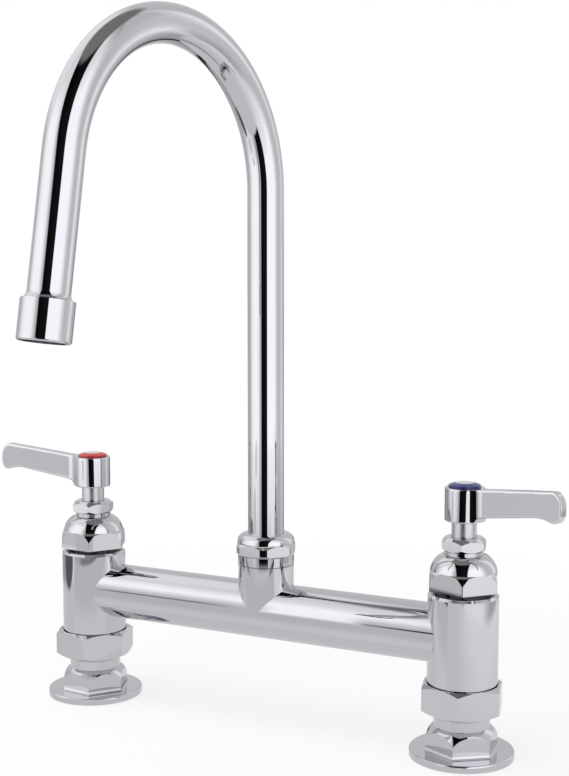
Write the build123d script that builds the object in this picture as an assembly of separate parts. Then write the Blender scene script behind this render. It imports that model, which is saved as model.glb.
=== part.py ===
from build123d import *
import math
import os

# A deck-mount bridge faucet with two quarter-turn lever valves and a swing gooseneck, in millimetres.
# The origin is on the deck, midway between the inlets. +Z is up, +X runs from hot to cold, and -Y
# points to the person at the sink. Screw threads are plain cylinders at their meeting diameter.

# Radial gaps
RUN_GAP = 0.06            # a turning piece in its bore
SLIP_GAP = 0.1            # a piece that is pushed in and stays

# Deck inlets
INLET_CENTRES = 203.2     # eight inches
FLANGE_D = 48.4
FLANGE_THICK = 3.2
FLANGE_ROUND = 0.8
PIPE_THREAD_D = 18.6      # female half-inch pipe thread
PIPE_THREAD_DEPTH = 14.0
THROAT_D = 15.0
INLET_HEX_WALL = 2.0      # hexagon flats outside the neck
INLET_HEX_HEIGHT = 5.4    # straight corners
INLET_FILLET = 1.5        # round the hexagon's foot
INLET_DOME_HEIGHT = 6.0
INLET_DOME_SAG = 0.6
NECK_REVEAL = 4.6         # bare neck under the coupling nut
NECK_EDGE = 0.4

# Union at the foot of each valve leg
NUT_LIP = 1.6
NUT_WALL = 1.35
NUT_TAPER = 3.5
NUT_CHAMFER = 1.7
NUT_SKIRT = 1.4           # counterbore round the leg
NUT_SKIRT_GAP = 0.6
NUT_RIM = 0.5
RING_THICK = 1.6
RING_LIP = 1.45           # ring outside the neck
RING_SEAT = 0.9           # ring inside the neck's groove
RING_CLEAR = 0.8
RING_SPLIT = 6.0
RING_LAND = 1.0
UNION_WASHER = 1.5
LEG_THREAD_STEP = 1.05
LEG_THREAD_LENGTH = 8.1

# Valve legs and the bridge between them
LEG_STEP = 1.05           # leg wider than the bonnet's flats, each side
LEG_BELOW = 7.7           # leg between the coupling nut and the bridge
LEG_ABOVE = 6.7           # leg between the bridge and the bonnet
LEG_EDGE = 1.1
LEG_BORE_D = 13.0
BRIDGE_INSET = 2.65       # bridge narrower than the leg, each side
BRIDGE_WALL = 2.4
PORT_D = 18.0
TEE_PORT_D = 17.0
SEAT_DROP = 11.7          # valve seat below the bridge axis

# Ceramic cartridge
DISC_D = 18.8
DISC_THICK = 3.0
DISC_PORT = 70.0          # width of each water port, in degrees
DISC_HUB_D = 6.4
DISC_RIM = 1.4
LUG_WIDTH = 3.0
LUG_REACH = 1.0
SEAL_THICK = 2.4
SEAL_BORE_D = 13.6
CARTRIDGE_WALL = 1.64
CARTRIDGE_LIFT = 0.8      # housing foot above the seat
CARTRIDGE_FLANGE = 2.4
CARTRIDGE_ORING = 1.0
WINDOW_WIDTH = 10.0
DRIVE_ROOM = 6.0          # water space over the turning disc
TANG_LENGTH = 12.0
TANG_WIDTH = 3.0
TANG_DEPTH = 1.6
TANG_HEIGHT = 3.6

# Stem and packing
STEM_D = 11.4
STEM_REVEAL = 7.5         # bare stem under the handle
STEM_SHOULDER = 1.3
STEM_SHANK_D = 8.0
BARREL_DEPTH = 3.0        # top of the stem's barrel below the cartridge flange
STEM_ORING = 1.4
STEM_ORING_SPACING = 8.0
PACKING_WALL = 1.74
PACKING_HEIGHT = 1.8
NECK_STEP = 1.25          # cartridge neck outside its gland thread
GLAND_REVEAL = 1.75       # bare neck between bonnet and packing nut
GLAND_THREAD = 2.8
GLAND_WALL = 2.0
GLAND_LIP = 1.5
GLAND_CHAMFER = 1.5       # height of the bevel at the foot
GLAND_BEVEL = 1.8
GLAND_CROWN = 2.2         # height of the bevel at the top
GLAND_CROWN_BEVEL = 2.6
GLAND_SINK = 0.7          # countersink round the stem

# Bonnet
SPIGOT_WALL = 2.0
SPIGOT_HEIGHT = 7.2
BONNET_WALL = 2.0
BONNET_CORNER = 2.25      # round outside the flats
BONNET_CROWN = 8.5
BONNET_SHOULDER = 6.7     # straight corners
BONNET_BEVEL = 3.3        # from the corners up to the ledge
BONNET_LEDGE = 1.0        # ledge outside the flats
BONNET_LEDGE_RISE = 0.85
BONNET_SAG = 1.25
BONNET_RIM = 0.6
BONNET_EDGE = 1.4
BONNET_GROOVE = 1.1       # relief round the foot
BONNET_GROOVE_RISE = 2.1

# Lever handles
INDEX_D = 14.5
INDEX_SEAT = 2.6
INDEX_EDGE = 1.0          # ring's upright edge above the hub
INDEX_CROWN = 1.5
INDEX_DISC_D = 8.4
INDEX_DISC_THICK = 1.0
HUB_RIM = 1.65
HUB_WEB = 2.2
HUB_END_GAP = 0.3
SPLINE_STEP = 1.1
SPLINE_DEPTH = 0.45
SPLINE_COUNT = 16
SPLINE_LENGTH = 6.4
SCREW_D = 4.0
SCREW_LENGTH = 9.0
SCREW_HEAD_D = 7.0
SCREW_HEAD = 2.4
SCREW_HEAD_GAP = 0.3
SCREW_HEAD_ROOM = 1.5     # between the screw's head and the index
SCREW_SLOT = 1.0
LEVER_REACH = 54.6        # stem axis to the tip
BLADE_TILT = 8.4          # lower line, in degrees upwards
BLADE_TOP_TILT = 5.9      # upper line
BLADE_LIFT = 1.1          # blade's lower line above the hub's foot, on the stem axis
BLADE_HEIGHT = 13.4       # between the two lines, on the stem axis
BLADE_ROOT_THICK = 6.0
BLADE_TIP_THICK = 4.2
BLADE_ROOT = 4.2          # length of the curved root, from the hub
BLADE_FILLET = 8.0
FLARE_LENGTH = 14.2
FLARE_DROP = 3.7
TIP_BULGE = 3.2
TIP_ROUND_LOW = 3.4
TIP_ROUND_HIGH = 4.4

# Spout swivel
TEE_STANDOUT = 9.8        # tee above the bridge's crown
TEE_WALL = 3.0
ADAPTER_WALL = 1.8
ADAPTER_FOOT_GAP = 0.8
ADAPTER_COLLAR = 5.4
ADAPTER_COLLAR_STEP = 0.05
ADAPTER_EDGE = 0.5
ADAPTER_THREAD = 4.4
SWIVEL_ORING = 1.8
GROOVE_WALL = 1.2
GROOVE_ROOM = 0.3
SWIVEL_WASHER = 0.8
SWIVEL_END_GAP = 0.1
COLLAR_THICK = 2.4
COLLAR_GAP = 0.4
SPOUT_NUT_WALL = 2.04
SPOUT_NUT_CORNER = 1.2
SPOUT_NUT_LIP = 2.2
SPOUT_NUT_SHOULDER = 4.0
SPOUT_NUT_BEVEL = 1.1
SPOUT_NUT_SAG = 1.4
SPOUT_NUT_RIM = 0.9
SPOUT_NUT_EDGE = 0.7

# Gooseneck
SPOUT_TUBE_D = 17.5
SPOUT_WALL = 1.2
SPOUT_FOOT = 3.2          # tube below the top of the tee
SPOUT_RISER = 179.9       # top of the tee to the bend
BEND_RADIUS = 69.1
BEND_TURN = 170.2         # degrees
SPOUT_DROP = 57.05        # bend to the outlet ferrule
SPOUT_SWING = 7.5         # degrees towards the hot side

# Outlet
FERRULE_WALL = 2.3
FERRULE_LENGTH = 19.35
FERRULE_SOCKET = 7.75
FERRULE_FLARE = 2.6
FERRULE_ROUND = 1.0
OUTLET_STEP = 0.25        # outlet bore outside the tube, each side
OUTLET_WASHER = 1.6
OUTLET_WASHER_BORE_D = 13.2
SCREEN_THICK = 0.6
SCREEN_HOLE_D = 1.2
SCREEN_PITCH = 1.9
SCREEN_RINGS = 4
STRAIGHTENER_LENGTH = 7.0
STRAIGHTENER_HOLE_D = 2.0
STRAIGHTENER_PITCH = 2.9
STRAIGHTENER_RINGS = 2

# How far round each piece was tightened or set, in degrees from +X
SIDES = {
    "hot": {"x": -INLET_CENTRES / 2, "port": 0, "lever": 184.4,
            "inlet": -6.7, "nut": -12.5, "bonnet": -3.4, "gland": -7.0},
    "cold": {"x": INLET_CENTRES / 2, "port": 180, "lever": -20.3,
             "inlet": -23.3, "nut": -15.3, "bonnet": -11.8, "gland": -16.3},
}
SPOUT_NUT_TURN = -7.1

# Diameters, from the cartridge outwards
chamber_d = DISC_D + 2 * RUN_GAP
cartridge_d = chamber_d + 2 * CARTRIDGE_WALL
cavity_d = cartridge_d + 2 * SLIP_GAP
spigot_d = cavity_d + 2 * SPIGOT_WALL
bonnet_hex = spigot_d + 2 * BONNET_WALL
bonnet_d = bonnet_hex + 2 * BONNET_CORNER
leg_d = bonnet_hex + 2 * LEG_STEP
leg_thread_d = leg_d - 2 * LEG_THREAD_STEP
nut_hex = leg_d + 2 * NUT_WALL
ring_d = leg_thread_d - 2 * RING_CLEAR
neck_d = ring_d - 2 * RING_LIP
ring_seat_d = neck_d - 2 * RING_SEAT
inlet_hex = neck_d + 2 * INLET_HEX_WALL
bridge_d = leg_d - 2 * BRIDGE_INSET

# Diameters, from the stem outwards
barrel_d = STEM_D + 2 * STEM_SHOULDER
spline_d = STEM_D - 2 * SPLINE_STEP
gland_thread_d = STEM_D + 2 * (RUN_GAP + PACKING_WALL)
gland_hex = gland_thread_d + 2 * GLAND_WALL
cartridge_neck_d = gland_thread_d + 2 * NECK_STEP
hub_d = INDEX_D + 2 * (SLIP_GAP + HUB_RIM)

# Diameters, from the gooseneck outwards
swivel_bore_d = SPOUT_TUBE_D + 2 * RUN_GAP
swivel_groove_d = swivel_bore_d + 2 * SWIVEL_ORING
tee_thread_d = swivel_bore_d + 2 * ADAPTER_WALL
tee_d = tee_thread_d + 2 * TEE_WALL
adapter_collar_d = tee_d + 2 * ADAPTER_COLLAR_STEP
spout_thread_d = swivel_groove_d + 2 * GROOVE_WALL
spout_nut_hex = spout_thread_d + 2 * SPOUT_NUT_WALL
spout_nut_d = spout_nut_hex + 2 * SPOUT_NUT_CORNER
ferrule_d = SPOUT_TUBE_D + 2 * FERRULE_WALL
outlet_d = SPOUT_TUBE_D + 2 * OUTLET_STEP

# Heights of the inlet and the union
inlet_corner_top = FLANGE_THICK + INLET_HEX_HEIGHT
inlet_hex_top = inlet_corner_top + INLET_DOME_HEIGHT
nut_foot = inlet_hex_top + NECK_REVEAL
ring_foot = nut_foot + NUT_LIP
ring_top = ring_foot + RING_THICK
neck_top = ring_top + RING_LAND
leg_foot = neck_top + UNION_WASHER
leg_shoulder = leg_foot + LEG_THREAD_LENGTH
nut_top = leg_shoulder + NUT_SKIRT

# Heights of the leg and the cartridge
bridge_z = nut_top + LEG_BELOW + bridge_d / 2
leg_top = bridge_z + bridge_d / 2 + LEG_ABOVE
spigot_top = leg_top + SPIGOT_HEIGHT
flange_top = spigot_top + CARTRIDGE_FLANGE
bonnet_top = flange_top + BONNET_CROWN
seat_z = bridge_z - SEAT_DROP
stator_foot = seat_z + SEAL_THICK
rotor_foot = stator_foot + DISC_THICK
rotor_top = rotor_foot + DISC_THICK
chamber_top = rotor_top + DRIVE_ROOM
barrel_top = spigot_top - BARREL_DEPTH
gland_foot = bonnet_top + GLAND_REVEAL
packing_foot = gland_foot + GLAND_THREAD
packing_top = packing_foot + PACKING_HEIGHT
gland_top = packing_top + GLAND_LIP

# Heights of the handle
hub_foot = gland_top + STEM_REVEAL
stem_top = hub_foot + SPLINE_LENGTH
screw_seat = stem_top + HUB_END_GAP + HUB_WEB
index_foot = screw_seat + SCREW_HEAD + SCREW_HEAD_ROOM
hub_top = index_foot + INDEX_SEAT

# Heights of the swivel
tee_top = bridge_z + bridge_d / 2 + TEE_STANDOUT
adapter_foot = bridge_z + bridge_d / 2 + ADAPTER_FOOT_GAP
adapter_collar_top = tee_top + ADAPTER_COLLAR
adapter_top = adapter_collar_top + ADAPTER_THREAD
collar_foot = adapter_top + SWIVEL_WASHER
collar_top = collar_foot + COLLAR_THICK
spout_nut_seat = collar_top + SWIVEL_END_GAP
spout_nut_top = spout_nut_seat + SPOUT_NUT_LIP
swivel_oring_heights = (tee_top + ADAPTER_COLLAR / 2, adapter_collar_top + ADAPTER_THREAD / 2)


def rod(diameter, low, high):
    upright = (Align.CENTER, Align.CENTER, Align.MIN)
    return Pos(0, 0, low) * Cylinder(diameter / 2, high - low, align=upright)


def pipe(outer, inner, low, high):
    return rod(outer, low, high) - rod(inner, low, high)


def turned(*lines):
    # A closed outline of radius and height, turned about the Z axis.
    return revolve(Plane.XZ * make_face(Curve() + list(lines)), Axis.Z)


def hexagon(across_flats, low, high):
    flats = RegularPolygon(across_flats / 2, 6, major_radius=False)
    return Pos(0, 0, low) * extrude(flats, high - low)


def corner_radius(across_flats):
    return across_flats / math.sqrt(3)


def sector(inner, outer, low, high, middle, width):
    # A block between two radii, some degrees wide.
    section = make_face(Polyline((inner, low), (outer, low), (outer, high), (inner, high), (inner, low)))
    block = revolve(Plane.XZ * section, Axis.Z, revolution_arc=width)
    return Rot(0, 0, middle - width / 2) * block


def oring(inner_d, section, height):
    return Pos(0, 0, height) * Torus(inner_d / 2 + section / 2, section / 2)


def domed_nut(across_flats, low, bevels, rim, edge, sag):
    # A round nut with six flats. Its bevels, each a radius and a height, lead from the corners to a dome
    # that ends on a flat rim.
    radius = bevels[0][0]
    high = rim[1]
    outline = turned(
        Polyline(rim, (0, high), (0, low), (radius - edge, low), (radius, low + edge), *bevels),
        SagittaArc(bevels[-1], rim, -sag),
    )
    return outline & hexagon(across_flats, low, high)


def splined(diameter, low, high):
    points = []
    for step in range(2 * SPLINE_COUNT):
        radius = diameter / 2 - SPLINE_DEPTH * (step % 2)
        angle = math.pi * step / SPLINE_COUNT
        points.append((radius * math.cos(angle), radius * math.sin(angle)))
    return Pos(0, 0, low) * extrude(make_face(Polyline(*points, close=True)), high - low)


def hole_field(diameter, pitch, rings, low, high):
    # Round holes on a triangular grid, filling a hexagon.
    holes = []
    for row in range(-rings, rings + 1):
        for column in range(-rings, rings + 1):
            if abs(row + column) <= rings:
                x = pitch * (column + row / 2)
                y = pitch * row * math.sqrt(3) / 2
                holes.append(Pos(x, y, 0) * rod(diameter, low, high))
    return holes


def inlet_fitting():
    corner = corner_radius(inlet_hex)
    neck = neck_d / 2
    flange = rod(FLANGE_D, 0, FLANGE_THICK)
    flange = fillet(flange.edges().sort_by(Axis.Z)[-1], FLANGE_ROUND)
    dome = turned(
        Polyline((neck, inlet_hex_top), (0, inlet_hex_top), (0, 0), (corner, 0),
                 (corner, inlet_corner_top)),
        SagittaArc((corner, inlet_corner_top), (neck, inlet_hex_top), -INLET_DOME_SAG),
    )
    body = flange + (dome & hexagon(inlet_hex, 0, inlet_hex_top))
    foot = body.edges().filter_by(GeomType.LINE).filter_by_position(Axis.Z, FLANGE_THICK, FLANGE_THICK)
    body = fillet(foot, INLET_FILLET)
    body += chamfer(rod(neck_d, 0, neck_top).edges().sort_by(Axis.Z)[-1], NECK_EDGE)
    body -= pipe(neck_d + RING_LIP, ring_seat_d, ring_foot, ring_top)
    body -= rod(PIPE_THREAD_D, 0, PIPE_THREAD_DEPTH)
    return body - rod(THROAT_D, 0, neck_top)


def retaining_ring():
    split = Pos(ring_d / 2, 0, ring_foot) * Box(ring_d, RING_SPLIT, 4 * RING_THICK)
    return pipe(ring_d, ring_seat_d, ring_foot, ring_top) - split


def coupling_nut():
    corner = corner_radius(nut_hex)
    lip_d = neck_d + 2 * SLIP_GAP
    skirt_d = leg_d + 2 * NUT_SKIRT_GAP
    outline = turned(Polyline(
        (0, nut_foot), (lip_d / 2 + NUT_RIM, nut_foot), (corner, nut_foot + NUT_TAPER),
        (corner, nut_top - NUT_CHAMFER), (skirt_d / 2 + NUT_RIM, nut_top), (0, nut_top), (0, nut_foot)))
    body = outline & hexagon(nut_hex, nut_foot, nut_top)
    body -= rod(lip_d, nut_foot, nut_top)
    body -= rod(leg_thread_d, ring_foot, nut_top)
    return body - rod(skirt_d, leg_shoulder, nut_top)


def union_washer():
    return pipe(ring_d, THROAT_D, neck_top, leg_foot)


def valve_leg():
    body = rod(leg_d, leg_shoulder, leg_top)
    body = chamfer(body.edges().group_by(Axis.Z)[-1], LEG_EDGE)
    body += rod(leg_thread_d, leg_foot, leg_shoulder)
    body += rod(spigot_d, leg_top, spigot_top)
    body -= rod(LEG_BORE_D, leg_foot, seat_z)
    body -= rod(cavity_d, seat_z, spigot_top)
    port = Pos(0, 0, bridge_z) * Rot(0, 90, 0) * rod(PORT_D, 0, leg_d)
    return body - port


def seat_seal():
    return pipe(DISC_D, SEAL_BORE_D, seat_z, stator_foot)


def disc_ports(low, high, middle):
    inner = DISC_HUB_D / 2
    outer = DISC_D / 2 - DISC_RIM
    return [sector(inner, outer, low, high, middle + half_turn, DISC_PORT) for half_turn in (0, 180)]


def stator_disc():
    # Its two ports lie across the bridge, and two lugs key it to the cartridge.
    lug_d = DISC_D + 2 * LUG_REACH
    bar = Pos(0, 0, stator_foot + DISC_THICK / 2) * Box(LUG_WIDTH, lug_d, DISC_THICK)
    lugs = bar & rod(lug_d, stator_foot, rotor_foot)
    return (rod(DISC_D, stator_foot, rotor_foot) + lugs) - disc_ports(stator_foot, rotor_foot, 90)


def rotor_disc():
    # Closed, its ports lie a quarter turn from the fixed disc's. The slot takes the stem's tang.
    slot_width = TANG_WIDTH + 2 * SLIP_GAP
    slot_length = TANG_LENGTH + 2 * SLIP_GAP
    slot = Pos(0, 0, rotor_top - TANG_DEPTH / 2) * Box(slot_width, slot_length, TANG_DEPTH)
    return rod(DISC_D, rotor_foot, rotor_top) - disc_ports(rotor_foot, rotor_top, 0) - slot


def cartridge_oring_height():
    return (bridge_z + PORT_D / 2 + leg_top) / 2


def cartridge_housing():
    foot = seat_z + CARTRIDGE_LIFT
    body = rod(cartridge_d, foot, spigot_top)
    body += rod(spigot_d - 2 * SLIP_GAP, spigot_top, flange_top)
    body += rod(cartridge_neck_d, flange_top, gland_foot)
    body += rod(gland_thread_d, gland_foot, packing_foot)
    body -= rod(chamber_d, foot, chamber_top)
    body -= rod(barrel_d + 2 * RUN_GAP, chamber_top, barrel_top + RUN_GAP)
    body -= rod(STEM_D + 2 * RUN_GAP, barrel_top, packing_foot)
    window_height = chamber_top - rotor_foot
    window = Box(cartridge_d + WINDOW_WIDTH, WINDOW_WIDTH, window_height)
    body -= Pos(0, 0, rotor_foot + window_height / 2) * window
    notch_d = DISC_D + 2 * (LUG_REACH + SLIP_GAP)
    notch = Pos(0, 0, foot) * Box(LUG_WIDTH + 2 * SLIP_GAP, notch_d, 2 * (rotor_foot - foot))
    body -= notch & rod(notch_d, foot, rotor_foot)
    groove_low = cartridge_oring_height() - CARTRIDGE_ORING / 2
    groove_root = cavity_d - 2 * CARTRIDGE_ORING
    return body - pipe(cavity_d, groove_root, groove_low, groove_low + CARTRIDGE_ORING)


def cartridge_oring():
    return oring(cavity_d - 2 * CARTRIDGE_ORING, CARTRIDGE_ORING, cartridge_oring_height())


def stem_oring_heights():
    middle = (chamber_top + barrel_top) / 2
    return (middle - STEM_ORING_SPACING / 2, middle + STEM_ORING_SPACING / 2)


def stem(spline_turn):
    groove_root = barrel_d - 2 * STEM_ORING
    tang_low = rotor_top - TANG_DEPTH
    body = rod(STEM_SHANK_D, rotor_top, chamber_top)
    body += Pos(0, 0, tang_low + TANG_HEIGHT / 2) * Box(TANG_WIDTH, TANG_LENGTH, TANG_HEIGHT)
    body += rod(barrel_d, chamber_top, barrel_top)
    body += rod(STEM_D, barrel_top, hub_foot)
    body += Rot(0, 0, spline_turn) * splined(spline_d, hub_foot, stem_top)
    for height in stem_oring_heights():
        body -= pipe(barrel_d + STEM_ORING, groove_root, height - STEM_ORING / 2, height + STEM_ORING / 2)
    return body - rod(SCREW_D, screw_seat - SCREW_LENGTH, stem_top)


def stem_orings():
    groove_root = barrel_d - 2 * STEM_ORING
    return Compound(children=[oring(groove_root, STEM_ORING, height) for height in stem_oring_heights()])


def bonnet():
    hole_d = cartridge_neck_d + 2 * SLIP_GAP
    rim = (hole_d / 2 + BONNET_RIM, bonnet_top)
    shoulder = leg_top + BONNET_SHOULDER
    ledge = shoulder + BONNET_BEVEL
    bevels = ((bonnet_d / 2, shoulder), (bonnet_hex / 2 + BONNET_LEDGE, ledge),
              (bonnet_hex / 2, ledge + BONNET_LEDGE_RISE))
    body = domed_nut(bonnet_hex, leg_top, bevels, rim, BONNET_EDGE, BONNET_SAG)
    groove_top = leg_top + BONNET_GROOVE_RISE
    body -= pipe(bonnet_d + BONNET_GROOVE, bonnet_hex - 2 * BONNET_GROOVE, leg_top, groove_top)
    body -= rod(hole_d, leg_top, bonnet_top)
    return body - rod(spigot_d, leg_top, flange_top)


def packing_nut():
    corner = corner_radius(gland_hex)
    hole = STEM_D / 2 + RUN_GAP
    outline = turned(Polyline(
        (0, gland_foot), (corner - GLAND_BEVEL, gland_foot), (corner, gland_foot + GLAND_CHAMFER),
        (corner, gland_top - GLAND_CROWN), (corner - GLAND_CROWN_BEVEL, gland_top),
        (hole + GLAND_SINK, gland_top), (hole, gland_top - GLAND_SINK), (0, gland_top - GLAND_SINK),
        (0, gland_foot)))
    body = outline & hexagon(gland_hex, gland_foot, gland_top)
    body -= rod(gland_thread_d, gland_foot, packing_top)
    return body - rod(2 * hole, packing_top, gland_top)


def packing_ring():
    return pipe(gland_thread_d, STEM_D + 2 * RUN_GAP, packing_foot, packing_top)


def blade_low(x):
    return hub_foot + BLADE_LIFT + x * math.tan(math.radians(BLADE_TILT))


def blade_high(x):
    return hub_foot + BLADE_LIFT + BLADE_HEIGHT + x * math.tan(math.radians(BLADE_TOP_TILT))


def lever_side():
    # The handle's outline from the side: the hub, and a blade that rises to a flared tip.
    hub = hub_d / 2
    root = hub + BLADE_ROOT
    flare = LEVER_REACH - FLARE_LENGTH
    tip = LEVER_REACH - TIP_BULGE
    tip_low = blade_low(tip) - FLARE_DROP
    tip_high = blade_high(tip)
    bend = hub + BLADE_ROOT / 4
    flare_bend = flare + FLARE_LENGTH / 3
    lower_root = Bezier((hub, hub_foot), (bend, blade_low(bend)), (root, blade_low(root)))
    lower_flare = Bezier((flare, blade_low(flare)), (flare_bend, blade_low(flare_bend)), (tip, tip_low))
    end = ThreePointArc((tip, tip_low), (LEVER_REACH, (tip_low + tip_high) / 2), (tip, tip_high))
    upper_root = Bezier((root, blade_high(root)), (bend, blade_high(bend)), (hub, hub_top))
    outline = Curve() + [
        Polyline((hub, hub_top), (-hub, hub_top), (-hub, hub_foot), (hub, hub_foot)), lower_root,
        Line(lower_root @ 1, lower_flare @ 0), lower_flare, end,
        Line(end @ 1, upper_root @ 0), upper_root]
    face = make_face(outline)
    for height, radius in ((tip_low, TIP_ROUND_LOW), (tip_high, TIP_ROUND_HIGH)):
        face = fillet(face.vertices().sort_by_distance((tip, height))[0], radius)
    return face


def lever_plan():
    # The handle's outline from above: the round hub, filleted into a blade that thins outwards.
    blade = make_face(Polyline(
        (0, -BLADE_ROOT_THICK / 2), (LEVER_REACH, -BLADE_TIP_THICK / 2),
        (LEVER_REACH, BLADE_TIP_THICK / 2), (0, BLADE_ROOT_THICK / 2), close=True))
    plan = Circle(hub_d / 2) + blade
    inner = [corner for corner in plan.vertices() if 0 < corner.X < hub_d / 2]
    return fillet(inner, BLADE_FILLET)


def lever_handle():
    side = extrude(Plane.XZ * lever_side(), hub_d, both=True)
    plan = Pos(0, 0, hub_foot) * extrude(lever_plan(), 2 * (hub_top - hub_foot))
    body = side & plan
    body -= splined(spline_d + 2 * SLIP_GAP, hub_foot, stem_top + HUB_END_GAP)
    body -= rod(SCREW_D + 2 * SLIP_GAP, stem_top, screw_seat)
    body -= rod(SCREW_HEAD_D + 2 * SCREW_HEAD_GAP, screw_seat, index_foot)
    return body - rod(INDEX_D + 2 * SLIP_GAP, index_foot, hub_top)


def handle_screw():
    head_top = screw_seat + SCREW_HEAD
    body = rod(SCREW_D, screw_seat - SCREW_LENGTH, screw_seat)
    body += rod(SCREW_HEAD_D, screw_seat, head_top)
    slots = [Pos(0, 0, head_top) * Rot(0, 0, turn) * Box(SCREW_SLOT, SCREW_D, SCREW_HEAD) for turn in (0, 90)]
    return body - slots


def index_top():
    return hub_top + INDEX_EDGE + INDEX_CROWN


def index_cap():
    # The low dome that the index ring and its disc share.
    edge = INDEX_D / 2
    crown = index_top()
    ball_radius = (edge ** 2 + INDEX_CROWN ** 2) / (2 * INDEX_CROWN)
    ball = Pos(0, 0, crown - ball_radius) * Sphere(ball_radius)
    return rod(INDEX_D, index_foot, crown) & ball


def index_ring():
    crown = index_top()
    return index_cap() - rod(INDEX_DISC_D, crown - INDEX_CROWN - INDEX_DISC_THICK, crown)


def index_disc():
    crown = index_top()
    return index_cap() & rod(INDEX_DISC_D, crown - INDEX_CROWN - INDEX_DISC_THICK, crown)


def bridge_bar(diameter):
    return Pos(0, 0, bridge_z) * Rot(0, 90, 0) * Cylinder(diameter / 2, INLET_CENTRES)


def bridge_tube():
    # Each end is cut to sit on the round of its leg.
    body = bridge_bar(bridge_d) - bridge_bar(bridge_d - 2 * BRIDGE_WALL)
    for side in SIDES.values():
        body -= Pos(side["x"], 0, 0) * rod(leg_d, leg_foot, leg_top)
    return body - rod(TEE_PORT_D, bridge_z, tee_top)


def spout_tee():
    return rod(tee_d, bridge_z, tee_top) - bridge_bar(bridge_d) - rod(tee_thread_d, bridge_z, tee_top)


def swivel_adapter():
    collar = rod(adapter_collar_d, tee_top, adapter_collar_top)
    body = chamfer(collar.edges().filter_by(GeomType.CIRCLE), ADAPTER_EDGE)
    body += rod(tee_thread_d, adapter_foot, tee_top)
    body += rod(spout_thread_d, adapter_collar_top, adapter_top)
    body -= rod(swivel_bore_d, adapter_foot, adapter_top)
    half = SWIVEL_ORING / 2 + GROOVE_ROOM
    for height in swivel_oring_heights:
        body -= rod(swivel_groove_d, height - half, height + half)
    return body


def swivel_orings():
    return Compound(children=[oring(swivel_bore_d, SWIVEL_ORING, height) for height in swivel_oring_heights])


def swivel_washer():
    return pipe(spout_thread_d - 2 * COLLAR_GAP, swivel_bore_d, adapter_top, collar_foot)


def spout_nut():
    rim = (swivel_bore_d / 2 + SPOUT_NUT_RIM, spout_nut_top)
    shoulder = adapter_collar_top + SPOUT_NUT_SHOULDER
    bevels = ((spout_nut_d / 2, shoulder), (spout_nut_hex / 2, shoulder + SPOUT_NUT_BEVEL))
    body = domed_nut(spout_nut_hex, adapter_collar_top, bevels, rim, SPOUT_NUT_EDGE, SPOUT_NUT_SAG)
    body -= rod(spout_thread_d, adapter_collar_top, spout_nut_seat)
    return body - rod(swivel_bore_d, spout_nut_seat, spout_nut_top)


def gooseneck_path(drop):
    # Up the riser, round the bend, and straight down to the outlet, in the plane of X = 0.
    foot = Vector(0, 0, tee_top - SPOUT_FOOT)
    bend_foot = Vector(0, 0, tee_top + SPOUT_RISER)
    centre = bend_foot + Vector(0, -BEND_RADIUS, 0)

    def on_bend(degrees):
        angle = math.radians(degrees)
        return centre + Vector(0, math.cos(angle), math.sin(angle)) * BEND_RADIUS

    end_angle = math.radians(BEND_TURN)
    along = Vector(0, -math.sin(end_angle), math.cos(end_angle))
    bend_end = on_bend(BEND_TURN)
    path = Curve() + [Line(foot, bend_foot), ThreePointArc(bend_foot, on_bend(BEND_TURN / 2), bend_end),
                      Line(bend_end, bend_end + along * drop)]
    return path, bend_end + along * drop, along


def gooseneck_tube():
    path, _, _ = gooseneck_path(SPOUT_DROP + FERRULE_SOCKET)
    foot = Plane((0, 0, tee_top - SPOUT_FOOT))
    outer = sweep(foot * Circle(SPOUT_TUBE_D / 2), path)
    return outer - sweep(foot * Circle(SPOUT_TUBE_D / 2 - SPOUT_WALL), path)


def spout_collar():
    return pipe(spout_thread_d - 2 * COLLAR_GAP, SPOUT_TUBE_D, collar_foot, collar_top)


def outlet_frame():
    # Where the ferrule starts on the gooseneck, with Z along the flow.
    _, start, along = gooseneck_path(SPOUT_DROP)
    return Plane(start, x_dir=(1, 0, 0), z_dir=along)


def outlet_ferrule():
    tube = SPOUT_TUBE_D / 2
    outer = ferrule_d / 2
    flare = FERRULE_FLARE
    body = turned(
        Polyline((tube, 0), (0, 0), (0, FERRULE_LENGTH), (outer - FERRULE_ROUND, FERRULE_LENGTH)),
        CenterArc((outer - FERRULE_ROUND, FERRULE_LENGTH - FERRULE_ROUND), FERRULE_ROUND, 0, 90),
        Polyline((outer, FERRULE_LENGTH - FERRULE_ROUND), (outer, flare)),
        Bezier((outer, flare), (tube + flare / 4, flare), (tube, 0)),
    )
    body -= rod(SPOUT_TUBE_D, 0, FERRULE_SOCKET)
    return body - rod(outlet_d, FERRULE_SOCKET, FERRULE_LENGTH)


def outlet_washer():
    return pipe(outlet_d, OUTLET_WASHER_BORE_D, FERRULE_SOCKET, FERRULE_SOCKET + OUTLET_WASHER)


def outlet_screen():
    low = FERRULE_SOCKET + OUTLET_WASHER
    high = low + SCREEN_THICK
    return rod(outlet_d, low, high) - hole_field(SCREEN_HOLE_D, SCREEN_PITCH, SCREEN_RINGS, low, high)


def flow_straightener():
    low = FERRULE_SOCKET + OUTLET_WASHER + SCREEN_THICK
    high = low + STRAIGHTENER_LENGTH
    holes = hole_field(STRAIGHTENER_HOLE_D, STRAIGHTENER_PITCH, STRAIGHTENER_RINGS, low, high)
    return rod(outlet_d, low, high) - holes


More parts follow.
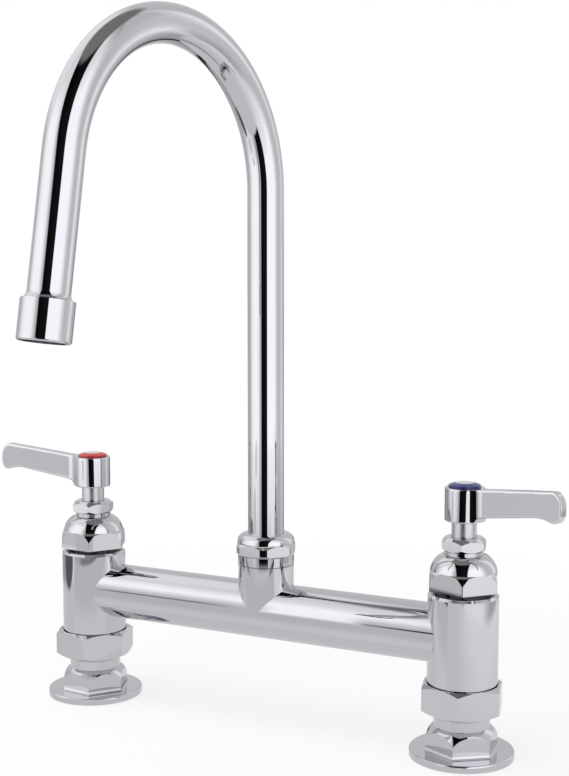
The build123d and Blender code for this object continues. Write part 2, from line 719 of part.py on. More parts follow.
def valve_pieces(side):
    # Each piece on its own upright axis, and how far round it is set.
    turns = SIDES[side]
    closed = turns["port"]
    return {
        "inlet_fitting": (inlet_fitting(), turns["inlet"]),
        "retaining_ring": (retaining_ring(), closed),
        "coupling_nut": (coupling_nut(), turns["nut"]),
        "union_washer": (union_washer(), closed),
        "valve_leg": (valve_leg(), closed),
        "seat_seal": (seat_seal(), closed),
        "stator_disc": (stator_disc(), closed),
        "rotor_disc": (rotor_disc(), closed),
        "cartridge_housing": (cartridge_housing(), closed),
        "cartridge_oring": (cartridge_oring(), closed),
        "stem": (stem(turns["lever"] - closed), closed),
        "stem_orings": (stem_orings(), closed),
        "bonnet": (bonnet(), turns["bonnet"]),
        "packing_nut": (packing_nut(), turns["gland"]),
        "packing_ring": (packing_ring(), closed),
        "lever_handle": (lever_handle(), turns["lever"]),
        "handle_screw": (handle_screw(), turns["lever"]),
        "index_ring": (index_ring(), turns["lever"]),
        "index_disc": (index_disc(), turns["lever"]),
    }


def all_pieces():
    pieces = {}
    for side in SIDES:
        axis = Pos(SIDES[side]["x"], 0, 0)
        for name, (solid, turn) in valve_pieces(side).items():
            pieces[f"{side}_{name}"] = axis * Rot(0, 0, turn) * solid
    pieces["bridge_tube"] = bridge_tube()
    pieces["spout_tee"] = spout_tee()
    pieces["swivel_adapter"] = swivel_adapter()
    pieces["swivel_orings"] = swivel_orings()
    pieces["swivel_washer"] = swivel_washer()
    pieces["spout_nut"] = Rot(0, 0, SPOUT_NUT_TURN) * spout_nut()
    swing = Rot(0, 0, -SPOUT_SWING)
    outlet = swing * outlet_frame().location
    pieces["gooseneck_tube"] = swing * gooseneck_tube()
    pieces["spout_collar"] = swing * spout_collar()
    pieces["outlet_ferrule"] = outlet * outlet_ferrule()
    pieces["outlet_washer"] = outlet * outlet_washer()
    pieces["outlet_screen"] = outlet * outlet_screen()
    pieces["flow_straightener"] = outlet * flow_straightener()
    return pieces


os.makedirs("parts", exist_ok=True)
for piece_name, piece in all_pieces().items():
    export_step(piece, f"parts/{piece_name}.step")
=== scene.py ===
import bpy
import bmesh
from math import radians, sin, cos, tan, sqrt, pi
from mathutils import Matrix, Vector


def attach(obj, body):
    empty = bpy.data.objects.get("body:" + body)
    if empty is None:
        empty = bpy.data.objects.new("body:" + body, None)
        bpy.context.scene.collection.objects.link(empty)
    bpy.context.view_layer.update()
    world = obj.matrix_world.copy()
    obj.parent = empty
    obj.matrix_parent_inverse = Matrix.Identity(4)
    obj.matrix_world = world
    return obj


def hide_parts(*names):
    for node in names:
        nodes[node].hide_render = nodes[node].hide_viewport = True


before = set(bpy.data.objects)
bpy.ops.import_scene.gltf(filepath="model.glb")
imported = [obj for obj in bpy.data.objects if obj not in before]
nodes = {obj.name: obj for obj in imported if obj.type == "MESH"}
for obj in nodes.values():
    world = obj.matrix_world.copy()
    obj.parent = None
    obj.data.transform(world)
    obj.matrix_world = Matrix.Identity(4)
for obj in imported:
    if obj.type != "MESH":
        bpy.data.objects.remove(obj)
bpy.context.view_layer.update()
mm = 0.001
print("frame loaded:", len(nodes), "nodes")

scene = bpy.context.scene
scene.view_settings.view_transform = "Standard"


def deselect():
    bpy.ops.object.select_all(action="DESELECT")


def makeActive(obj):
    deselect()
    obj.select_set(True)
    bpy.context.view_layer.objects.active = obj


def placeInMesh(obj):
    makeActive(obj)
    bpy.ops.object.transform_apply(location=True, rotation=True, scale=True)


def pickFaces(obj, wanted):
    bpy.ops.mesh.select_all(action="DESELECT")
    bpy.ops.mesh.select_mode(type="FACE")
    mesh = bmesh.from_edit_mesh(obj.data)
    for face in mesh.faces:
        face.select_set(wanted(face.calc_center_median()))
    bmesh.update_edit_mesh(obj.data)


def useModifier(obj, kind, **settings):
    makeActive(obj)
    modifier = obj.modifiers.new(kind.lower(), kind)
    for name, value in settings.items():
        setattr(modifier, name, value)
    bpy.ops.object.modifier_apply(modifier=modifier.name)


def onlyReflected(obj):
    obj.visible_camera = False
    obj.visible_diffuse = False
    obj.visible_shadow = False


# node helpers: a number is typed into the socket, a socket is linked
def feed(tree, socket, value):
    if isinstance(value, bpy.types.NodeSocket):
        tree.links.new(value, socket)
    else:
        socket.default_value = value


def addNode(tree, kind, inputs=None, **settings):
    node = tree.nodes.new(kind)
    for name, value in settings.items():
        setattr(node, name, value)
    for name, value in (inputs or {}).items():
        feed(tree, node.inputs[name], value)
    return node


def calc(tree, operation, *values):
    return addNode(tree, "ShaderNodeMath", dict(enumerate(values)), operation=operation).outputs[0]


def vectorCalc(tree, operation, *vectors):
    node = addNode(tree, "ShaderNodeVectorMath", dict(enumerate(vectors)), operation=operation)
    return node.outputs["Vector" if operation == "NORMALIZE" else "Value"]


def objectPlace(tree):
    return addNode(tree, "ShaderNodeTexCoord").outputs["Object"]


def axesOf(tree, vector):
    return addNode(tree, "ShaderNodeSeparateXYZ", {"Vector": vector}).outputs


def remap(tree, value, low, high, toLow=0.0, toHigh=1.0, smooth=True):
    node = addNode(tree, "ShaderNodeMapRange", {"Value": value, "From Min": low, "From Max": high,
                                                "To Min": toLow, "To Max": toHigh})
    node.interpolation_type = "SMOOTHSTEP" if smooth else "LINEAR"
    return node.outputs[0]


def blendLevels(tree, share, first, second):
    return calc(tree, "ADD", calc(tree, "MULTIPLY", first, calc(tree, "SUBTRACT", 1, share)),
                calc(tree, "MULTIPLY", second, share))


colourMix = {"share": 0, "first": 6, "second": 7, "result": 2}   # sockets that a mix node uses for colours


def blendColours(tree, share, first, second):
    node = addNode(tree, "ShaderNodeMix", {colourMix["share"]: share, colourMix["first"]: first,
                                           colourMix["second"]: second}, data_type="RGBA")
    return node.outputs[colourMix["result"]]


def blendShaders(tree, share, first, second):
    return addNode(tree, "ShaderNodeMixShader", {"Fac": share, 1: first, 2: second}).outputs[0]


def emit(tree, **inputs):
    return addNode(tree, "ShaderNodeEmission", inputs).outputs[0]


def ramp(tree, value, stops):
    node = addNode(tree, "ShaderNodeValToRGB", {"Fac": value})
    band = node.color_ramp.elements
    anywhere = 0.5
    while len(band) < len(stops):
        band.new(anywhere)
    for element, (place, level) in zip(band, stops):
        element.position = place
        element.color = (level, level, level, 1)
    return node.outputs["Color"]


# polish: broad cloudy patches left by the wheel, plus fine hairlines
polishLook = {
    "patchDetail": 3.0, "patchRoughness": 0.5, "cloud": (0.32, 0.68), "cloudShare": 0.6,
    "hairTurn": (0.35, 0.2, 0.5), "hairStretch": (1.0, 1.0, 9.0), "hairDetail": 4.0, "hairRoughness": 0.65,
    "lines": (0.52, 0.78), "lineShare": 0.4, "hairHeight": 0.15,
}


def makePolishGroup(look):
    group = bpy.data.node_groups.new("polishMarks", "ShaderNodeTree")
    face = group.interface
    for name, kind in (("Tint", "NodeSocketColor"), ("Patch Tint", "NodeSocketColor"),
                       ("Patch Scale", "NodeSocketFloat"), ("Hairline Scale", "NodeSocketFloat"),
                       ("Gloss", "NodeSocketFloat"), ("Gloss Drift", "NodeSocketFloat")):
        face.new_socket(name=name, in_out="INPUT", socket_type=kind)
    for name, kind in (("Colour", "NodeSocketColor"), ("Roughness", "NodeSocketFloat"),
                       ("Height", "NodeSocketFloat")):
        face.new_socket(name=name, in_out="OUTPUT", socket_type=kind)
    given = group.nodes.new("NodeGroupInput").outputs
    result = group.nodes.new("NodeGroupOutput").inputs
    place = objectPlace(group)
    patches = addNode(group, "ShaderNodeTexNoise", {
        "Vector": place, "Scale": given["Patch Scale"],
        "Detail": look["patchDetail"], "Roughness": look["patchRoughness"]}).outputs["Fac"]
    stretched = addNode(group, "ShaderNodeMapping", {
        "Vector": place, "Rotation": look["hairTurn"], "Scale": look["hairStretch"]}).outputs["Vector"]
    hairlines = addNode(group, "ShaderNodeTexNoise", {
        "Vector": stretched, "Scale": given["Hairline Scale"],
        "Detail": look["hairDetail"], "Roughness": look["hairRoughness"]}).outputs["Fac"]
    cloud = remap(group, patches, *look["cloud"])
    lines = remap(group, hairlines, *look["lines"])
    feed(group, result["Colour"], blendColours(group, cloud, given["Tint"], given["Patch Tint"]))
    wander = calc(group, "ADD", calc(group, "MULTIPLY", cloud, look["cloudShare"]),
                  calc(group, "MULTIPLY", lines, look["lineShare"]))
    feed(group, result["Roughness"], calc(group, "MULTIPLY_ADD", wander, given["Gloss Drift"], given["Gloss"]))
    feed(group, result["Height"],
         calc(group, "ADD", patches, calc(group, "MULTIPLY", hairlines, look["hairHeight"])))
    return group


polishMarks = makePolishGroup(polishLook)
coatRoughness = 0.06


def newMaterial(name):
    material = bpy.data.materials.new(name)
    material.use_nodes = True
    tree = material.node_tree
    return material, tree, tree.nodes["Principled BSDF"]


def makeFinish(name, look, metallic):
    material, tree, shader = newMaterial(name)
    marks = addNode(tree, "ShaderNodeGroup", {
        "Tint": (*look["tint"], 1), "Patch Tint": (*look["patchTint"], 1), "Patch Scale": look["patchScale"],
        "Hairline Scale": look["hairlineScale"], "Gloss": look["gloss"], "Gloss Drift": look["drift"]},
        node_tree=polishMarks).outputs
    bump = addNode(tree, "ShaderNodeBump", {"Height": marks["Height"], "Strength": look["bump"],
                                            "Distance": look["relief"]})
    feed(tree, shader.inputs["Base Color"], marks["Colour"])
    feed(tree, shader.inputs["Roughness"], marks["Roughness"])
    feed(tree, shader.inputs["Normal"], bump.outputs["Normal"])
    feed(tree, shader.inputs["Metallic"], metallic)
    feed(tree, shader.inputs["Coat Weight"], look.get("coat", 0))
    feed(tree, shader.inputs["Coat Roughness"], coatRoughness)
    return material


def makeGrooveShaded(name, look):               # polished, with painted shade that darkens the groove round the foot
    material = makeFinish(name, look, 1)
    tree = material.node_tree
    colour = tree.nodes["Principled BSDF"].inputs["Base Color"]
    height = axesOf(tree, objectPlace(tree))["Z"]
    inShadedGroove = remap(tree, height, *look["groove"], 1, 0)
    polished = colour.links[0].from_socket
    # painted shade mixed into the colour inside the groove
    feed(tree, colour, blendColours(tree, inShadedGroove, polished, (*look["grooveShadeTint"], 1)))
    return material


metalLooks = {
    "chrome": {"tint": (0.602, 0.605, 0.636), "patchTint": (0.590, 0.593, 0.625), "patchScale": 45,
               "hairlineScale": 260, "gloss": 0.008, "drift": 0.014, "bump": 0.010, "relief": 0.0002},
    "stem": {"tint": (0.602, 0.605, 0.632), "patchTint": (0.575, 0.578, 0.607), "patchScale": 90,
             "hairlineScale": 500, "gloss": 0.22, "drift": 0.08, "bump": 0.02, "relief": 0.0002},
    "steel": {"tint": (0.56, 0.55, 0.53), "patchTint": (0.49, 0.48, 0.47), "patchScale": 120,
              "hairlineScale": 700, "gloss": 0.22, "drift": 0.14, "bump": 0.05, "relief": 0.0002},
    "brass": {"tint": (0.62, 0.43, 0.17), "patchTint": (0.55, 0.36, 0.13), "patchScale": 90,
              "hairlineScale": 600, "gloss": 0.24, "drift": 0.12, "bump": 0.05, "relief": 0.0002},
    "index_metal": {"tint": (0.92, 0.92, 0.92), "patchTint": (0.86, 0.86, 0.87), "patchScale": 160,
                    "hairlineScale": 900, "gloss": 0.30, "drift": 0.08, "bump": 0.03, "relief": 0.0001},
}
solidLooks = {
    "ceramic": {"tint": (0.78, 0.76, 0.70), "patchTint": (0.72, 0.69, 0.63), "patchScale": 400,
                "hairlineScale": 1500, "gloss": 0.18, "drift": 0.10, "bump": 0.02, "relief": 0.0001},
    "rubber": {"tint": (0.018, 0.018, 0.019), "patchTint": (0.030, 0.030, 0.031), "patchScale": 300,
               "hairlineScale": 1400, "gloss": 0.55, "drift": 0.18, "bump": 0.10, "relief": 0.0002},
    "white_plastic": {"tint": (0.74, 0.74, 0.72), "patchTint": (0.68, 0.68, 0.66), "patchScale": 220,
                      "hairlineScale": 1200, "gloss": 0.34, "drift": 0.12, "bump": 0.05, "relief": 0.0001},
    "grey_plastic": {"tint": (0.20, 0.205, 0.21), "patchTint": (0.16, 0.165, 0.17), "patchScale": 220,
                     "hairlineScale": 1200, "gloss": 0.36, "drift": 0.14, "bump": 0.06, "relief": 0.0001},
    "hot_red": {"tint": (0.50, 0.010, 0.009), "patchTint": (0.42, 0.008, 0.007), "patchScale": 260, "coat": 0.3,
                "hairlineScale": 900, "gloss": 0.24, "drift": 0.10, "bump": 0.02, "relief": 0.0001},
    "cold_blue": {"tint": (0.012, 0.014, 0.16), "patchTint": (0.009, 0.010, 0.12), "patchScale": 260, "coat": 0.3,
                  "hairlineScale": 900, "gloss": 0.24, "drift": 0.10, "bump": 0.02, "relief": 0.0001},
}
finishes = {slot: makeFinish(slot + "Finish", look, 1) for slot, look in metalLooks.items()}
finishes.update({slot: makeFinish(slot + "Finish", look, 0) for slot, look in solidLooks.items()})
# painted shade: a dark band at the height of the bonnets' foot groove
grooveShadeLook = {"groove": (0.0779, 0.0782), "grooveShadeTint": (0.045, 0.045, 0.050)}
finishes["bonnet"] = makeGrooveShaded("bonnetFinish", {**metalLooks["chrome"], **grooveShadeLook})
for name, node in nodes.items():
    kind = name.split("_", 1)[1]
    for holder in node.material_slots:
        slot = holder.material.name.split(".")[0]
        # stems are only brushed, and bonnets have painted shade in the groove
        holder.material = finishes[kind if kind in ("stem", "bonnet") else slot]
print("finishes set:", len(finishes))

# lever: sizes in mm, x runs out along the blade from the stem's axis
leverShape = {
    "hub": 9.0, "screwHole": 2.1, "headPocket": 3.8, "socket": 4.7, "seat": 7.35,
    "foot": 109.45, "socketTop": 116.15, "webTop": 118.35, "seatFloor": 122.25, "top": 124.85,
    "tilt": 8.4, "lift": 1.1, "topTilt": 5.9, "topLift": 14.5, "reach": 54.6,
    "inHub": (7.5, 8.2), "root": 4.2, "rootBend": 0.25, "rootSteps": 8,
    "rootThick": 6.0, "tipThick": 4.2, "fillet": 8.0, "filletTries": 5,
    "flare": 14.2, "flareDrop": 3.7, "bulge": 3.2, "lowRound": 6.5, "highRound": 5.3,
    "tipSteps": 22, "tipShort": 0.4,
    "turns": 96, "weld": 0.005, "voxel": 0.26, "softening": 12, "softShare": 0.5,
}
leverSides = {
    "hot": {"axis": -101.6, "azimuth": 184.4},
    "cold": {"axis": 101.6, "azimuth": -20.3},
}


def turnHub(shape):
    middle = ((shape["hub"] + shape["screwHole"]) / 2 * mm, 0, (shape["foot"] + shape["top"]) / 2 * mm)
    deselect()
    bpy.ops.mesh.primitive_plane_add(size=mm, location=middle, rotation=(radians(90), 0, 0))
    hub = bpy.context.object
    hub.scale = (shape["hub"] - shape["screwHole"], shape["top"] - shape["foot"], 1)
    placeInMesh(hub)
    bpy.ops.object.mode_set(mode="EDIT")
    for level in ("socketTop", "webTop", "seatFloor"):
        bpy.ops.mesh.select_all(action="SELECT")
        bpy.ops.mesh.bisect(plane_co=(0, 0, shape[level] * mm), plane_no=(0, 0, 1))
    for radius in ("headPocket", "socket", "seat"):
        bpy.ops.mesh.select_all(action="SELECT")
        bpy.ops.mesh.bisect(plane_co=(shape[radius] * mm, 0, 0), plane_no=(1, 0, 0))

    def hollow(centre):
        x, z = centre.x / mm, centre.z / mm
        inSocket = x < shape["socket"] and z < shape["socketTop"]
        inPocket = x < shape["headPocket"] and shape["webTop"] < z < shape["seatFloor"]
        return inSocket or inPocket or (x < shape["seat"] and z > shape["seatFloor"])

    pickFaces(hub, hollow)
    bpy.ops.mesh.delete(type="FACE")
    bpy.ops.mesh.select_all(action="SELECT")
    bpy.ops.mesh.dissolve_faces()          # one section of the wall is left
    bpy.ops.mesh.delete(type="ONLY_FACE")
    bpy.ops.mesh.select_all(action="SELECT")
    bpy.ops.mesh.spin(steps=shape["turns"], angle=2 * pi, center=(0, 0, 0), axis=(0, 0, 1))
    bpy.ops.mesh.select_all(action="SELECT")
    bpy.ops.mesh.remove_doubles(threshold=shape["weld"] * mm)
    bpy.ops.mesh.normals_make_consistent(inside=False)
    bpy.ops.object.mode_set(mode="OBJECT")
    return hub


def bladeStations(shape):
    def lowLine(x):
        return shape["foot"] + shape["lift"] + x * tan(radians(shape["tilt"]))

    def highLine(x):
        return shape["foot"] + shape["topLift"] + x * tan(radians(shape["topTilt"]))

    def bladeHalf(x):
        return (shape["rootThick"] + (shape["tipThick"] - shape["rootThick"]) * x / reach) / 2

    def halfThick(x):
        if x < filletEnd:
            return filletSide - sqrt(shape["fillet"] ** 2 - (filletEnd - x) ** 2)
        return bladeHalf(x)

    def roundOff(x, length):               # the tip's two round corners
        return sqrt(1 - max(0, (x - reach + length) / length) ** 2)

    hub, reach = shape["hub"], shape["reach"]
    filletEnd = hub
    for _ in range(shape["filletTries"]):  # the root's fillet touches the hub and the blade's side
        filletSide = shape["fillet"] + bladeHalf(filletEnd)
        filletEnd = sqrt((hub + shape["fillet"]) ** 2 - filletSide ** 2)
    rows = [(x, shape["foot"], shape["top"]) for x in shape["inHub"]]
    bend, root = hub + shape["rootBend"] * shape["root"], hub + shape["root"]
    for step in range(shape["rootSteps"] + 1):   # root swings from the hub's foot up to the blade
        t = step / shape["rootSteps"]
        a, b, c = (1 - t) ** 2, 2 * t * (1 - t), t * t
        rows.append((a * hub + b * bend + c * root,
                     a * shape["foot"] + b * lowLine(bend) + c * lowLine(root),
                     a * shape["top"] + b * highLine(bend) + c * highLine(root)))
    start, tip = reach - shape["flare"], reach - shape["bulge"]
    middle = (lowLine(tip) - shape["flareDrop"] + highLine(tip)) / 2
    for step in range(shape["tipSteps"]):  # flare and rounded end, which stops just short of a point
        x = start + shape["flare"] * sin(pi / 2 * step / (shape["tipSteps"] - shape["tipShort"]))
        flared = lowLine(x) - shape["flareDrop"] * ((x - start) / (tip - start)) ** 2
        rows.append((x, middle - (middle - flared) * roundOff(x, shape["lowRound"]),
                     middle + (highLine(x) - middle) * roundOff(x, shape["highRound"])))
    return [(x, (low + high) / 2, high - low, halfThick(x)) for x, low, high in rows]


def drawBlade(shape):
    stations = bladeStations(shape)
    x, middle, height, half = stations[0]
    deselect()
    bpy.ops.mesh.primitive_plane_add(size=mm, location=(x * mm, 0, middle * mm), rotation=(0, radians(90), 0))
    blade = bpy.context.object
    blade.scale = (height, 2 * half, 1)
    placeInMesh(blade)
    bpy.ops.object.mode_set(mode="EDIT")
    bpy.ops.mesh.select_mode(type="FACE")
    bpy.ops.mesh.select_all(action="SELECT")
    for (x0, middle0, height0, half0), (x, middle, height, half) in zip(stations, stations[1:]):
        step = ((x - x0) * mm, 0, (middle - middle0) * mm)
        bpy.ops.mesh.extrude_region_move(TRANSFORM_OT_translate={"value": step})
        bpy.ops.transform.resize(value=(1, half / half0, height / height0),
                                 center_override=(x * mm, 0, middle * mm))
    bpy.ops.mesh.select_all(action="SELECT")
    bpy.ops.mesh.normals_make_consistent(inside=False)
    bpy.ops.object.mode_set(mode="OBJECT")
    return blade


def castLever(shape):
    hub = turnHub(shape)
    blade = drawBlade(shape)
    makeActive(hub)
    blade.select_set(True)
    bpy.ops.object.join()
    useModifier(hub, "REMESH", mode="VOXEL", voxel_size=shape["voxel"] * mm, use_smooth_shade=True)
    useModifier(hub, "SMOOTH", factor=shape["softShare"], iterations=shape["softening"])
    hub.data.materials.clear()
    hub.data.materials.append(finishes["chrome"])
    return hub


def mountLevers():
    pattern = castLever(leverShape)
    for side, seat in leverSides.items():
        makeActive(pattern)
        bpy.ops.object.duplicate()
        lever = bpy.context.object
        lever.name = side + "Lever"
        lever.location = (seat["axis"] * mm, 0, 0)
        lever.rotation_euler = (0, 0, radians(seat["azimuth"]))
        placeInMesh(lever)
        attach(lever, side + "_handle")
        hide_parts(side + "_lever_handle")
        print(side, "lever:", len(lever.data.polygons), "faces")
    bpy.data.objects.remove(pattern)


mountLevers()

# studio walls: soft boxes and the dark gap between the two front ones; azimuths in degrees from +x
studioLook = {
    "bright": 1.6, "gapAzimuth": -72.2, "gapHalf": 0.315, "gapSoft": 0.016, "gapDepth": 0.993,
    "frontEdge": (-0.1, 0.1),
    "ring": [(-180, 0.66), (-168, 1.0), (-158, 1.28), (-149, 1.42), (-140, 1.48), (-117, 1.48), (-110, 1.36),
             (-103, 1.05), (-96, 0.66), (-84, 0.72), (-70, 1.2), (-56, 1.46), (-45, 1.52), (-8, 1.52), (0, 1.3),
             (7, 1.05), (15, 0.82), (23, 0.76), (42, 0.84), (53, 1.25), (68, 0.76), (82, 0.64), (93, 0.64),
             (96, 0.04), (102, 0.04), (105, 0.64), (132, 0.64), (135, 0.04), (141, 0.04), (144, 0.68),
             (168, 0.62), (180, 0.66)],
}


def makeStudioGroup(look):
    group = bpy.data.node_groups.new("studioWalls", "ShaderNodeTree")
    group.interface.new_socket(name="Aim", in_out="INPUT", socket_type="NodeSocketVector")
    group.interface.new_socket(name="Level", in_out="OUTPUT", socket_type="NodeSocketFloat")
    aim = group.nodes.new("NodeGroupInput").outputs["Aim"]
    result = group.nodes.new("NodeGroupOutput").inputs["Level"]
    axes = axesOf(group, aim)
    turn = remap(group, calc(group, "ARCTAN2", axes["Y"], axes["X"]), -pi, pi, smooth=False)
    stops = [((azimuth + 180) / 360, level / look["bright"]) for azimuth, level in look["ring"]]
    boxes = calc(group, "MULTIPLY", ramp(group, turn, stops), look["bright"])
    side, front = sin(radians(look["gapAzimuth"])), cos(radians(look["gapAzimuth"]))
    across = calc(group, "ADD", calc(group, "MULTIPLY", axes["X"], -side),
                  calc(group, "MULTIPLY", axes["Y"], front))
    ahead = calc(group, "ADD", calc(group, "MULTIPLY", axes["X"], front),
                 calc(group, "MULTIPLY", axes["Y"], side))
    half, soft = look["gapHalf"], look["gapSoft"]
    gap = remap(group, calc(group, "ABSOLUTE", across), half - soft, half + soft, 1, 0)
    gap = calc(group, "MULTIPLY", gap, remap(group, ahead, *look["frontEdge"]))
    feed(group, result, calc(group, "MULTIPLY", boxes, calc(group, "MULTIPLY_ADD", gap, -look["gapDepth"], 1)))
    return group


studioWalls = makeStudioGroup(studioLook)


def wallLevel(tree, aim):
    return addNode(tree, "ShaderNodeGroup", {"Aim": aim}, node_tree=studioWalls).outputs["Level"]


# floor: keeps a light shadow near the faucet and runs out to plain white
floorLook = {"size": 8.0, "height": -0.0005, "colour": (0.86, 0.86, 0.865), "roughness": 0.9, "white": 1.0,
             "shadowShare": 0.22, "fade": (0.16, 0.46),
             "near": 0.80, "nearRight": 1.0, "rightFrom": (0.08, 0.30), "nearEdge": (0.335, 0.375),
             "patchEdge": (0.95, 1.2),
             "patches": [{"place": (-0.543, -0.696), "turn": -119, "size": (0.140, 0.076), "level": 0.80},
                         {"place": (-0.415, -0.381), "turn": -145, "size": (0.118, 0.067), "level": 0.80},
                         {"place": (-0.415, -0.120), "turn": -72, "size": (0.125, 0.085), "level": 0.14}],
             "falloff": [(0.0, 0.70), (0.40, 0.72), (0.60, 0.82), (0.90, 0.93), (1.0, 1.0)]}


def floorPaint(look):
    material, tree, shader = newMaterial("paleFloor")
    shader.inputs["Base Color"].default_value = (*look["colour"], 1)
    shader.inputs["Roughness"].default_value = look["roughness"]
    axes = axesOf(tree, objectPlace(tree))
    flat = addNode(tree, "ShaderNodeCombineXYZ", {"X": axes["X"], "Y": axes["Y"]}).outputs[0]
    reach = vectorCalc(tree, "LENGTH", flat)
    walls = wallLevel(tree, vectorCalc(tree, "NORMALIZE", flat))
    far = calc(tree, "MULTIPLY", walls, ramp(tree, reach, look["falloff"]))
    near = remap(tree, axes["X"], *look["rightFrom"], look["near"], look["nearRight"])
    level = blendLevels(tree, remap(tree, reach, *look["nearEdge"]), near, far)
    for patch in look["patches"]:          # painted shade: darker spots, left, seen only in reflections
        local = addNode(tree, "ShaderNodeMapping", {"Vector": flat, "Location": (*patch["place"], 0),
                                                    "Rotation": (0, 0, radians(patch["turn"])),
                                                    "Scale": (*patch["size"], 1)}, vector_type="TEXTURE")
        spread = vectorCalc(tree, "LENGTH", local.outputs[0])
        shaded = remap(tree, spread, *look["patchEdge"], 1, 0)
        level = blendLevels(tree, shaded, level, patch["level"])
    # in reflections the floor glows with these painted levels instead of showing its own shading
    paths = addNode(tree, "ShaderNodeLightPath").outputs
    away = remap(tree, reach, *look["fade"], 1 - look["shadowShare"], 1)
    direct = blendShaders(tree, calc(tree, "MULTIPLY", paths["Is Camera Ray"], away),
                          shader.outputs[0], emit(tree, Strength=look["white"]))
    bounced = calc(tree, "MAXIMUM", paths["Is Glossy Ray"], paths["Is Transmission Ray"])
    both = blendShaders(tree, bounced, direct, emit(tree, Strength=level))
    feed(tree, tree.nodes["Material Output"].inputs["Surface"], both)
    material.cycles.emission_sampling = "NONE"
    return material


deselect()
bpy.ops.mesh.primitive_plane_add(size=floorLook["size"], location=(0, 0, floorLook["height"]))
floor = bpy.context.object
floor.name = "floor"
placeInMesh(floor)
floor.data.materials.append(floorPaint(floorLook))


def lightMaterial(name):
    material = bpy.data.materials.new(name)
    material.use_nodes = True
    material.cycles.emission_sampling = "NONE"
    tree = material.node_tree
    tree.nodes.clear()
    return material, tree, addNode(tree, "ShaderNodeOutputMaterial").inputs["Surface"]


# tent: a dome that carries the studio walls, seen only in reflections
tentLook = {"radius": 1.6, "segments": 64, "rings": 32,
            "zenith": 0.24, "zenithTint": (1.04, 1.0, 0.97), "lid": (0.912, 0.952),
            "dim": (0.60, 0.88, 1.0, 0.72), "back": 0.72, "backFrom": (0.05, 0.20), "behind": (0.0, 0.2),
            "boxAim": (-0.636, 0.089, 0.766), "boxSpread": (38, 14), "box": 1.12}


def tentPaint(look):
    material, tree, surface = lightMaterial("tentLight")
    aim = vectorCalc(tree, "NORMALIZE", objectPlace(tree))
    axes = axesOf(tree, aim)
    rise = axes["Z"]
    boxes = calc(tree, "MULTIPLY", wallLevel(tree, aim), remap(tree, rise, *look["dim"]))
    behind = calc(tree, "MULTIPLY", remap(tree, axes["Y"], *look["behind"]), remap(tree, rise, *look["backFrom"]))
    boxes = calc(tree, "MAXIMUM", boxes, calc(tree, "MULTIPLY", behind, look["back"]))
    spread = [cos(radians(angle)) for angle in look["boxSpread"]]
    overhead = remap(tree, vectorCalc(tree, "DOT_PRODUCT", aim, look["boxAim"]), *spread, 0, look["box"])
    boxes = calc(tree, "MAXIMUM", boxes, overhead)
    lid = remap(tree, rise, *look["lid"])  # above the boxes the ceiling is dim
    level = blendLevels(tree, lid, boxes, look["zenith"])
    tint = blendColours(tree, lid, (1, 1, 1, 1), (*look["zenithTint"], 1))
    feed(tree, surface, emit(tree, Color=tint, Strength=level))
    return material


deselect()
bpy.ops.mesh.primitive_uv_sphere_add(segments=tentLook["segments"], ring_count=tentLook["rings"],
                                     radius=tentLook["radius"])
tent = bpy.context.object
tent.name = "tent"
tent.data.materials.append(tentPaint(tentLook))
onlyReflected(tent)

# card: low, in front of the bridge, fading out upwards and before the tee; seen only in reflections
cardLook = {"size": (0.214, 0.098), "middle": (-0.027, -0.050, 0.049), "level": 0.72, "lowLevel": 0.86,
            "low": (0.025, 0.050), "fade": (0.064, 0.097),
            "teeLeft": (-0.022, -0.006), "teeRight": (0.030, 0.045), "teeFrom": (0.058, 0.068),
            "line": 0.0650, "lineHalf": (0.0008, 0.0034), "lineLeft": (-0.055, -0.025, 0.60, 0.0),
            "lineRight": (0.018, 0.072, 0.0, 0.95), "lineEnd": (-0.118, -0.100, 0.25, 1.0)}


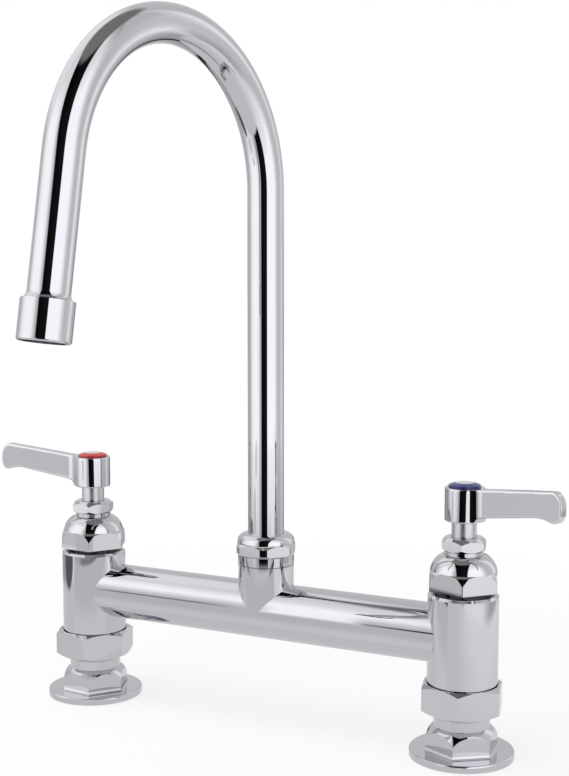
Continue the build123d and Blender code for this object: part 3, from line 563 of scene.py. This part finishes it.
def cardPaint(look):
    material, tree, surface = lightMaterial("cardLight")
    axes = axesOf(tree, objectPlace(tree))
    level = remap(tree, axes["Z"], *look["low"], look["lowLevel"], look["level"])
    # a dark line, left and right of the tee
    depth = calc(tree, "MAXIMUM", remap(tree, axes["X"], *look["lineLeft"]),
                 remap(tree, axes["X"], *look["lineRight"]))
    depth = calc(tree, "MULTIPLY", depth, remap(tree, axes["X"], *look["lineEnd"]))
    offLine = calc(tree, "ABSOLUTE", calc(tree, "SUBTRACT", axes["Z"], look["line"]))
    line = calc(tree, "MULTIPLY", depth, remap(tree, offLine, *look["lineHalf"], 1, 0))
    level = calc(tree, "MULTIPLY", level, calc(tree, "SUBTRACT", 1, line))
    beside = calc(tree, "MAXIMUM", remap(tree, axes["X"], *look["teeLeft"], 1, 0),
                  remap(tree, axes["X"], *look["teeRight"]))
    beside = calc(tree, "MAXIMUM", beside, remap(tree, axes["Z"], *look["teeFrom"], 1, 0))
    cover = calc(tree, "MULTIPLY", remap(tree, axes["Z"], *look["fade"], 1, 0), beside)
    clear = addNode(tree, "ShaderNodeBsdfTransparent").outputs[0]
    feed(tree, surface, blendShaders(tree, cover, clear, emit(tree, Strength=level)))
    return material


deselect()
bpy.ops.mesh.primitive_plane_add(size=1, location=cardLook["middle"], rotation=(radians(90), 0, 0))
card = bpy.context.object
card.name = "card"
card.scale = (*cardLook["size"], 1)
placeInMesh(card)
card.data.materials.append(cardPaint(cardLook))
onlyReflected(card)
print("stage set")

# world: plain white to the eye and in mirrors, weaker as a fill light
worldLook = {"colour": (1, 1, 1, 1), "seen": 1.0, "fill": 0.5}
world = bpy.data.worlds.new("studio")
scene.world = world
world.use_nodes = True
sky = world.node_tree
sky.nodes.clear()
seen, fill = [addNode(sky, "ShaderNodeBackground", {"Color": worldLook["colour"], "Strength": worldLook[use]})
              for use in ("seen", "fill")]
paths = addNode(sky, "ShaderNodeLightPath").outputs
shown = calc(sky, "MAXIMUM", calc(sky, "MAXIMUM", paths["Is Camera Ray"], paths["Is Glossy Ray"]),
             paths["Is Transmission Ray"])
skyOut = addNode(sky, "ShaderNodeOutputWorld")
feed(sky, skyOut.inputs["Surface"], blendShaders(sky, shown, fill.outputs[0], seen.outputs[0]))

lampLook = {"place": (-0.35, -0.45, 1.5), "aim": (0, 0, 0.05), "size": 1.4, "power": 20}
bpy.ops.object.light_add(type="AREA", location=lampLook["place"])
lamp = bpy.context.object
lamp.name = "topLamp"
lamp.data.size = lampLook["size"]
lamp.data.energy = lampLook["power"]
lamp.rotation_euler = (Vector(lampLook["aim"]) - Vector(lampLook["place"])).to_track_quat("-Z", "Y").to_euler()
lamp.visible_glossy = False
lamp.visible_camera = False

cameraLook = {"place": (0.31291, -0.5914, 0.23295), "yaw": 27.115, "pitch": 5.8, "focal": 64.72}
bpy.ops.object.camera_add(location=cameraLook["place"],
                          rotation=(radians(90 - cameraLook["pitch"]), 0, radians(cameraLook["yaw"])))
camera = bpy.context.object
camera.data.lens = cameraLook["focal"]
scene.camera = camera
print("camera and lamp set")
